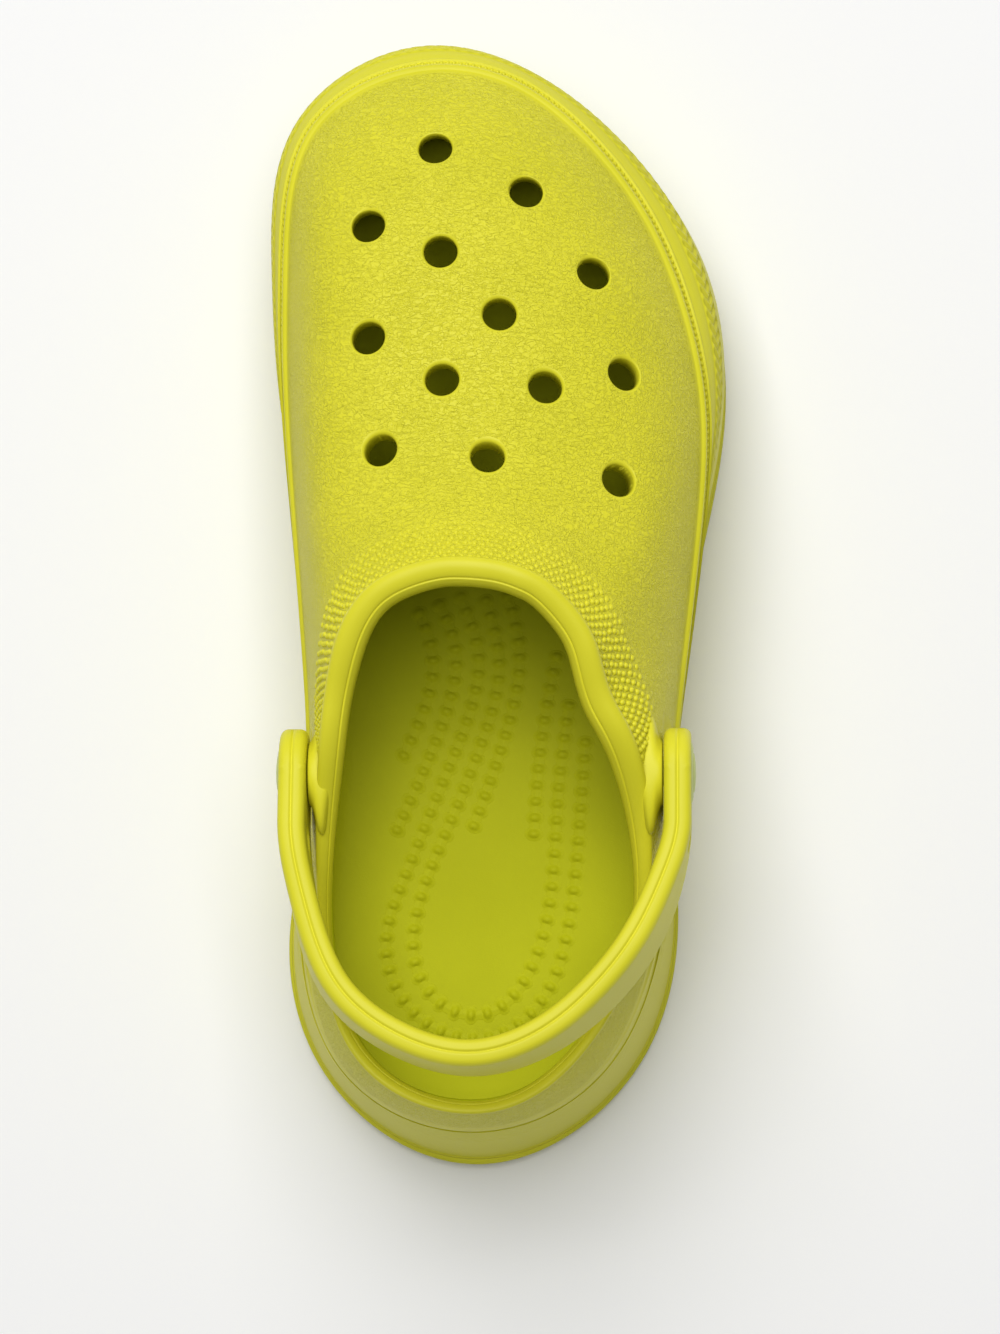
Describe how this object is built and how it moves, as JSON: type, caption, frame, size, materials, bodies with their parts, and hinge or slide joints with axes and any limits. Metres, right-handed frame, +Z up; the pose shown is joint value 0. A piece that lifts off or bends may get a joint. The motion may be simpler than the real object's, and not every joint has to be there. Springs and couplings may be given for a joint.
{
  "type": "rubber garden clog",
  "caption": "Right-foot moulded rubber garden clog with a thick sole, round ventilation holes, a rolled collar and a heel strap that pivots on side rivets.",
  "frame": {"origin": "on the ground plane, under the middle of the bounding box", "axes": "+Z up, +Y towards the toe, +X towards the outer (lateral) side of the foot"},
  "size_m": [0.1117, 0.2744, 0.1101],
  "materials": {
    "upper_rubber": "satin, fine pebble grain",
    "footbed_rubber": "satin",
    "sole_rubber": "satin",
    "tread_rubber": "matte",
    "strap_rubber": "satin, smooth",
    "rivet_plastic": "satin",
    "post_plastic": "satin"
  },
  "bodies": {
    "clog": {"upper_shell": "upper_rubber", "footbed": "footbed_rubber", "midsole": "sole_rubber", "outsole": "tread_rubber", "rivet_cap_lateral": "rivet_plastic", "rivet_cap_medial": "rivet_plastic", "rivet_post_lateral": "post_plastic", "rivet_post_medial": "post_plastic"},
    "strap": {"heel_strap": "strap_rubber"}
  },
  "joints": [
    {"name": "strap_pivot", "type": "hinge", "parent": "clog", "child": "strap", "pos_m": [0, -0.046, 0.08], "axis": [-1, 0, 0], "range_deg": [-2, 126]}
  ]
}
